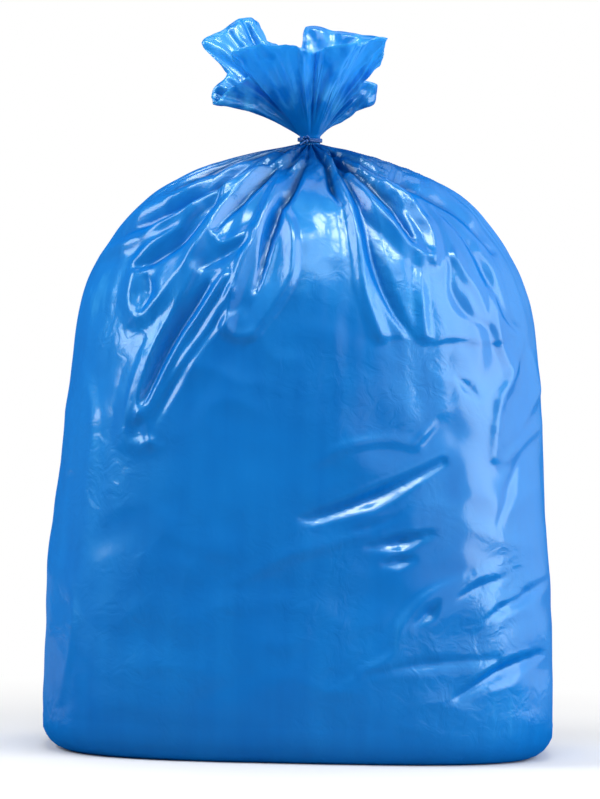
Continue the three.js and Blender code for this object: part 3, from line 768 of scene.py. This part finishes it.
def strand_nodes(material):
    """Carries a pinched, twisted film profile along the strand's middle line."""
    tree = bpy.data.node_groups.new("strand", "GeometryNodeTree")
    tree.interface.new_socket("Geometry", in_out="INPUT", socket_type="NodeSocketGeometry")
    for name in ("Radius", "Twist"):
        tree.interface.new_socket(name, in_out="INPUT", socket_type="NodeSocketFloat")
    tree.interface.new_socket("Geometry", in_out="OUTPUT", socket_type="NodeSocketGeometry")
    given = tree.nodes.new("NodeGroupInput")
    path = Shade(tree, given.outputs["Geometry"])
    radius = Shade(tree, given.outputs["Radius"])
    twist = Shade(tree, given.outputs["Twist"])
    curve = make_node(tree, "GeometryNodeMeshToCurve", {}, {"Mesh": path})
    along = make_node(tree, "GeometryNodeSplineParameter", output="Length")
    turned = make_node(tree, "GeometryNodeSetCurveTilt", {}, {"Curve": curve, "Tilt": along * twist})
    profile = make_node(tree, "GeometryNodeCurveStar", {}, {
        "Points": 5, "Inner Radius": strand_waist * radius, "Outer Radius": radius})
    strand = make_node(tree, "GeometryNodeCurveToMesh", {}, {
        "Curve": turned, "Profile Curve": profile, "Fill Caps": True})
    whole = make_node(tree, "GeometryNodeRealizeInstances", {}, {"Geometry": strand})
    coloured = make_node(tree, "GeometryNodeSetMaterial", {}, {"Geometry": whole, "Material": material})
    made = tree.nodes.new("NodeGroupOutput")
    tree.links.new(coloured.socket, made.inputs["Geometry"])
    return tree


# Tie colours: its film blue, and a darker blue painted into the creases as shade
tie_painted_crease_shade_blue = (0.0, 0.06, 0.28, 1)
tie_blue = (0.01, 0.17, 0.6, 1)
tie_crease_scale = 600.0
tie_crease_height = 0.0004


def tie_material():
    material, tree = make_material("tie_band")
    place = make_node(tree, "ShaderNodeTexCoord", output="Object")
    crease_bumps_and_shade = make_node(tree, "ShaderNodeTexNoise", {}, {
        "Vector": place, "Scale": tie_crease_scale, "Detail": 3.0})
    # Painted shade: where the crease noise is low and the bump dips, the strand is coloured darker
    color = make_node(tree, "ShaderNodeValToRGB", {"stops": [
        (0.35, tie_painted_crease_shade_blue), (0.7, tie_blue)]}, {"Fac": crease_bumps_and_shade})
    bump = make_node(tree, "ShaderNodeBump", {}, {
        "Height": crease_bumps_and_shade, "Strength": 0.5, "Distance": tie_crease_height})
    surface = make_node(tree, "ShaderNodeBsdfPrincipled", {}, {
        "Base Color": color, "Roughness": 0.2 + 0.3 * crease_bumps_and_shade, "Normal": bump, "IOR": 1.51})
    make_node(tree, "ShaderNodeOutputMaterial", {}, {"Surface": surface})
    return material


strand_points = strand_path()
strand_mesh = bpy.data.meshes.new("strand_path")
strand_mesh.from_pydata(strand_points.tolist(), [(i, i + 1) for i in range(len(strand_points) - 1)], [])
strand = bpy.data.objects.new("strand_path", strand_mesh)
bpy.context.scene.collection.objects.link(strand)
tie_look = tie_material()
winder = strand.modifiers.new("strand", "NODES")
winder.node_group = strand_nodes(tie_look)
for item in winder.node_group.interface.items_tree:
    if item.name in ("Radius", "Twist"):
        winder[item.identifier] = strand_radius if item.name == "Radius" else strand_twist
bpy.context.view_layer.update()
wound = strand.evaluated_get(bpy.context.evaluated_depsgraph_get())
tie_mesh = bpy.data.meshes.new_from_object(wound)
tie_mesh.shade_smooth()
neck_tie = bpy.data.objects.new("neck_tie_strand", tie_mesh)
bpy.context.scene.collection.objects.link(neck_tie)
bpy.data.objects.remove(strand)
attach(neck_tie, "root")
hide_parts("neck_tie")


# Floor: a white studio floor with no edge in sight. Near the bag it is matt and takes the bag's
# soft shadow, and farther off it is as white as the photograph's background.
floor_half = 6.0
floor_grey = 0.65  # for light that bounces; the camera sees it paler and reflections darker
seen_paler = 0.28
mirrored_darker = 0.6
white_from = 0.35  # distances from the bag's middle between which the floor turns white
white_by = 0.9


def stage_material():
    """Matt near the bag, shining white farther off; reflections see it white behind the bag only."""
    material, tree = make_material("studio_white")
    place = make_node(tree, "ShaderNodeTexCoord", output="Object")
    away = make_node(tree, "ShaderNodeVectorMath", {"operation": "LENGTH"}, {0: place}, output="Value")
    far = make_node(tree, "ShaderNodeMapRange", {"interpolation_type": "SMOOTHSTEP"}, {
        "Value": away, "From Min": white_from, "From Max": white_by})
    depth = make_node(tree, "ShaderNodeSeparateXYZ", {}, {"Vector": place}, output="Y")
    behind = make_node(tree, "ShaderNodeMapRange", {"interpolation_type": "SMOOTHSTEP"}, {
        "Value": depth, "From Min": -0.2, "From Max": 0.5})
    seen = make_node(tree, "ShaderNodeLightPath", output="Is Camera Ray")
    mirrored = make_node(tree, "ShaderNodeLightPath", output="Is Glossy Ray")
    through = make_node(tree, "ShaderNodeLightPath", output="Is Transmission Ray")
    grey = floor_grey + seen_paler * seen - mirrored_darker * mirrored
    level = make_node(tree, "ShaderNodeCombineColor", {}, {"Red": grey, "Green": grey, "Blue": grey})
    matt = make_node(tree, "ShaderNodeBsdfDiffuse", {}, {"Color": level})
    white = make_node(tree, "ShaderNodeEmission", {}, {"Color": (1, 1, 1, 1), "Strength": 1.0})
    lit = (seen + (mirrored + through) * behind) * far
    surface = make_node(tree, "ShaderNodeMixShader", {}, {0: lit, 1: matt, 2: white})
    make_node(tree, "ShaderNodeOutputMaterial", {}, {"Surface": surface})
    return material


floor_mesh = bpy.data.meshes.new("studio_floor")
floor_corners = [(floor_half * x, floor_half * y, 0) for x, y in ((-1, -1), (1, -1), (1, 1), (-1, 1))]
floor_mesh.from_pydata(floor_corners, [], [(0, 1, 2, 3)])
floor = bpy.data.objects.new("studio_floor", floor_mesh)
bpy.context.scene.collection.objects.link(floor)
floor_mesh.materials.append(stage_material())


# Studio light: a soft box on either side, one in front and one overhead, two narrow strips that
# only add reflections, and a pale room that is darker on the camera's side and bright on the right.
lamp_aim = 0.4  # height on the bag that the lamps point at
front_aim = 0.3
strip_width = 0.36
strip_forward = 1.25
strip_height = 2.25


def soft_box(name, place, aim_height, size, power):
    """A flat lamp that points at a height on the bag's axis."""
    data = bpy.data.lights.new(name, "AREA")
    data.shape = "RECTANGLE"
    data.size, data.size_y = size
    data.energy = power
    lamp = bpy.data.objects.new(name, data)
    bpy.context.scene.collection.objects.link(lamp)
    lamp.location = place
    lamp.rotation_mode = "QUATERNION"
    lamp.rotation_quaternion = (Vector((0, 0, aim_height)) - Vector(place)).to_track_quat("-Z", "Y")
    return lamp


soft_box("left_box", (-1.7, -0.5, 1.33), lamp_aim, (0.8, 1.2), 22)
soft_box("right_box", (1.6, -0.85, 1.0), lamp_aim, (1.1, 1.5), 19)
soft_box("front_box", (0.2, -1.55, 2.05), front_aim, (1.8, 0.9), 14)
for name, across, length, power in (("glint_strip", -0.35, 1.1, 22), ("short_strip", 0.85, 0.6, 13)):
    strip_place = (across, -strip_forward, strip_height)
    strip = soft_box(name, strip_place, front_aim, (length, strip_width), power)
    strip.visible_diffuse = False
soft_box("top_box", (0, 0.3, 2.2), lamp_aim, (1.4, 1.0), 11)

# The room: matt surfaces take an even light from it. Reflections see it faint behind the camera and
# brighter behind the bag, with a glow and a bright wall on the right. The camera sees white.
room_dark = 0.03
room_pale = 0.25
wall_strength = 1.6
glow_strength = 0.8
room_fill = 0.3  # what matt surfaces take from the room
world = bpy.data.worlds.new("studio")
world.use_nodes = True
room = world.node_tree
room.nodes.clear()
seen = make_node(room, "ShaderNodeLightPath", output="Is Camera Ray")
through = make_node(room, "ShaderNodeLightPath", output="Is Transmission Ray")
direction = make_node(room, "ShaderNodeTexCoord", output="Generated")
depthwise = make_node(room, "ShaderNodeSeparateXYZ", {}, {"Vector": direction}, output="Y")
sideways = make_node(room, "ShaderNodeSeparateXYZ", {}, {"Vector": direction}, output="X")
ambient = make_node(room, "ShaderNodeMapRange", {}, {
    "Value": depthwise, "From Min": -1.0, "From Max": 0.4, "To Min": room_dark, "To Max": room_pale})
wall = make_node(room, "ShaderNodeMapRange", {"interpolation_type": "SMOOTHSTEP"}, {
    "Value": sideways + 0.35 * depthwise, "From Min": 0.5, "From Max": 1.0,
    "To Min": 0.0, "To Max": wall_strength})
glow = make_node(room, "ShaderNodeMapRange", {"interpolation_type": "SMOOTHSTEP"}, {
    "Value": sideways, "From Min": 0.08, "From Max": 0.5, "To Min": 0.0, "To Max": glow_strength})
scattered = make_node(room, "ShaderNodeLightPath", output="Is Diffuse Ray")
white = seen + through
level = ((ambient + wall + glow) * (1 - scattered) + room_fill * scattered) * (1 - white) + white
background = make_node(room, "ShaderNodeBackground", {}, {"Color": (1, 1, 1, 1), "Strength": level})
make_node(room, "ShaderNodeOutputWorld", {}, {"Surface": background})
bpy.context.scene.world = world
bpy.context.scene.view_settings.view_transform = "Standard"
